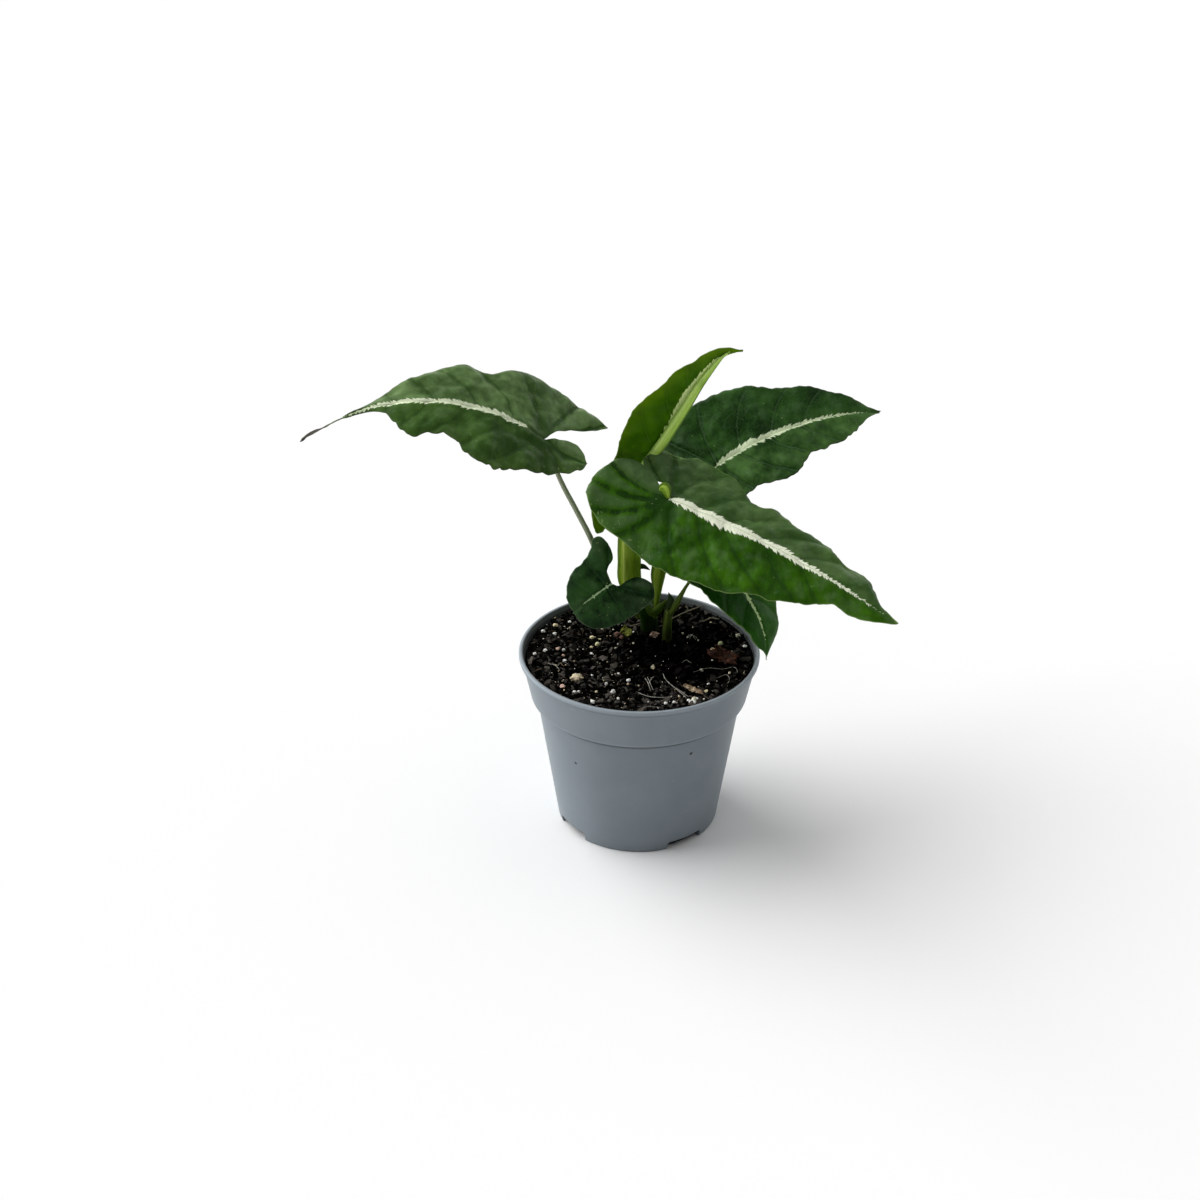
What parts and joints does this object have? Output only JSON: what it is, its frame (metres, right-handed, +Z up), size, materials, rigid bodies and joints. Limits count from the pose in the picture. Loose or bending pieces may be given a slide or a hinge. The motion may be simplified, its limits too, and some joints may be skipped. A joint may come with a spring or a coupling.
{
  "type": "potted syngonium",
  "caption": "Young arrowhead plant with arrow-shaped leaves on long stalks, growing in a round tapered plastic nursery pot.",
  "frame": {"origin": "centre of the pot's underside, on the flat centre pad that lies level with the feet", "axes": "+Z up along the pot's axis, +X to the right and +Y to the back seen from the front"},
  "size_m": [0.2815, 0.135, 0.2421],
  "materials": {
    "grow_pot_plastic": "satin",
    "potting_mix": "matte",
    "stalk_green": "satin",
    "stem_dark": "satin",
    "leaf_dark": "satin",
    "leaf_young": "satin",
    "perlite": "matte",
    "pebble_stone": "matte",
    "dry_leaf": "matte",
    "yellow_leaf": "matte",
    "bark": "matte"
  },
  "bodies": {
    "root": {"pot": "grow_pot_plastic", "potting_mix": "potting_mix", "main_stem": "stem_dark", "side_stem": "stalk_green", "petiole_upright": "stalk_green", "petiole_left": "stalk_green", "petiole_front_right": "stalk_green", "petiole_back_right": "stalk_green", "petiole_hanging": "stalk_green", "petiole_small": "stalk_green", "side_bud": "stalk_green", "sheath_flap": "stalk_green", "sheath_point": "stalk_green", "blade_left": "leaf_dark", "blade_front_right": "leaf_dark", "blade_back_right": "leaf_dark", "blade_upright": "leaf_young", "blade_hanging": "leaf_dark", "blade_small": "leaf_dark", "pebble": "pebble_stone", "pumice_bit": "perlite", "perlite_left": "perlite", "perlite_front": "perlite", "perlite_right": "perlite", "perlite_side": "perlite", "dry_leaf_scrap": "dry_leaf", "yellow_leaf_scrap": "yellow_leaf", "bark_sliver": "bark"}
  },
  "joints": []
}
